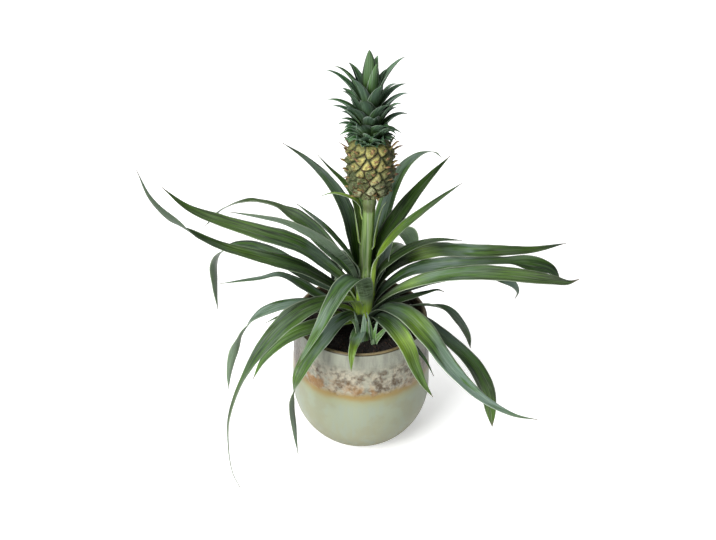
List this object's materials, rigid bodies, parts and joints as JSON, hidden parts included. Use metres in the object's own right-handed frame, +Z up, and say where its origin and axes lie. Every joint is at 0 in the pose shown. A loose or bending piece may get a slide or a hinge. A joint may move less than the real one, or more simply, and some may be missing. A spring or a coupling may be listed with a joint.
{
  "type": "potted pineapple plant",
  "caption": "Pineapple plant with a rosette of long arching leaves around a stalked, crowned fruit, growing in a round glazed pot.",
  "frame": {"origin": "middle of the flat underside of the pot", "axes": "+Z up along the pot's axis; +X to the right and -Y towards the viewer, as the picture shows the plant"},
  "size_m": [0.4542, 0.3057, 0.4632],
  "materials": {
    "glaze": "gloss",
    "soil": "matte",
    "leaf": "satin",
    "stalk": "satin",
    "fruit": "satin",
    "crown": "satin"
  },
  "bodies": {
    "root": {"pot": "glaze", "soil": "soil", "stem": "stalk", "fruit": "fruit", "crown": "crown", "side_shoot": "leaf", "leaf_01": "leaf", "leaf_02": "leaf", "leaf_03": "leaf", "leaf_04": "leaf", "leaf_05": "leaf", "leaf_06": "leaf", "leaf_07": "leaf", "leaf_08": "leaf", "leaf_09": "leaf", "leaf_10": "leaf", "leaf_11": "leaf", "leaf_12": "leaf", "leaf_13": "leaf", "leaf_14": "leaf", "leaf_15": "leaf", "leaf_16": "leaf", "leaf_17": "leaf", "leaf_18": "leaf", "leaf_19": "leaf", "leaf_20": "leaf", "leaf_21": "leaf", "leaf_22": "leaf", "leaf_23": "leaf", "leaf_24": "leaf", "leaf_25": "leaf", "leaf_26": "leaf", "leaf_27": "leaf", "leaf_28": "leaf", "leaf_29": "leaf", "leaf_30": "leaf", "leaf_31": "leaf", "leaf_32": "leaf", "leaf_33": "leaf", "leaf_34": "leaf", "leaf_35": "leaf", "stalk_leaf_1": "stalk", "stalk_leaf_2": "stalk", "stalk_leaf_3": "stalk", "stalk_leaf_4": "stalk"}
  },
  "joints": []
}
